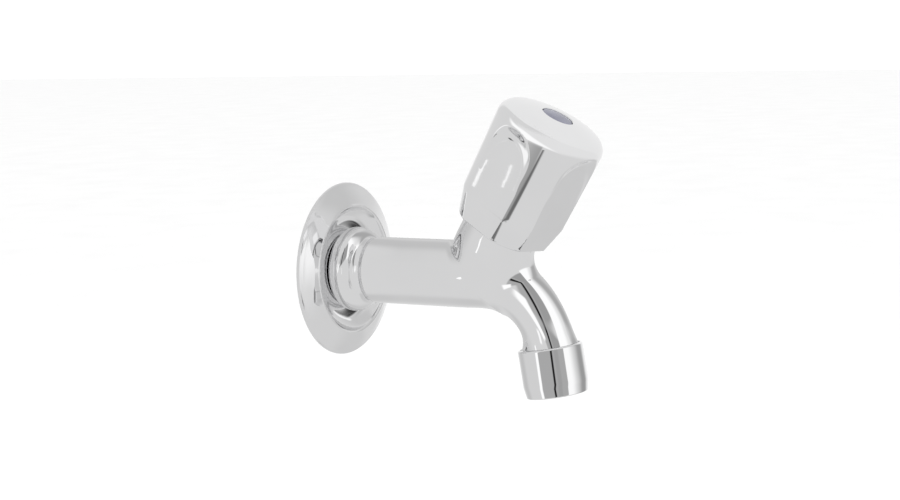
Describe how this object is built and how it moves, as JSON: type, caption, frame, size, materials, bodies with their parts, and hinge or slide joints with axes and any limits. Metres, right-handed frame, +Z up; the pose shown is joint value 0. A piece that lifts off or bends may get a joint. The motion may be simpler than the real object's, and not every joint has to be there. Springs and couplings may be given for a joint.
{
  "type": "bib tap",
  "caption": "Wall bib tap: dished wall flange, straight tube, leaning neck with a turning scalloped knob and a short down-turned spout ending in an aerator.",
  "frame": {"origin": "where the axis of the inlet thread meets the wall's plane, which is the back of the wall flange", "axes": "+Y points into the wall along the inlet thread, so the tap stands out towards -Y; +Z is up; x = 0 is the plane of symmetry"},
  "size_m": [0.0662, 0.1231, 0.1103],
  "materials": {
    "casting": "mirror chrome plate on cast brass; bare brass on the inlet thread",
    "flange": "mirror chrome plate on pressed sheet",
    "knob": "mirror chrome plate on a moulded knob",
    "shell": "mirror chrome plate on turned brass",
    "brass_turned": "turned, bare",
    "steel": "stainless, plain",
    "rubber": "matt black",
    "fibre": "matt fibre ring",
    "plastic": "moulded, satin",
    "plastic_grey": "moulded, satin",
    "indice": "blue-grey moulded button"
  },
  "bodies": {
    "fixed_body": {"tap_body": "casting", "wall_flange": "flange", "bonnet": "brass_turned", "bonnet_seal": "fibre", "aerator_shell": "shell", "aerator_seal": "rubber", "aerator_housing": "plastic", "aerator_jet_plate": "plastic", "aerator_screens": "steel", "flow_straightener": "plastic_grey"},
    "handle": {"knob": "knob", "knob_insert": "brass_turned", "knob_screw": "steel", "knob_screw_washer": "steel", "indice_button": "indice", "spindle": "brass_turned", "spindle_o_rings": "rubber", "spindle_circlip": "steel", "thrust_washer": "plastic"},
    "valve": {"valve_carrier": "brass_turned", "valve_washer": "rubber", "valve_washer_screw": "steel"}
  },
  "joints": [
    {"name": "knob_turn", "type": "hinge", "parent": "fixed_body", "child": "handle", "pos_m": [0, -0.0596, 0], "axis": [0, -0.5024, 0.8646], "range_deg": [0, 540]},
    {"name": "valve_lift", "type": "slide", "parent": "fixed_body", "child": "valve", "axis": [0, -0.5024, 0.8646], "range_m": [0, 0.0045]}
  ],
  "couplings": [
    {"joint": "valve_lift", "follows": "knob_turn", "m_per_rad": 0.00047746}
  ]
}
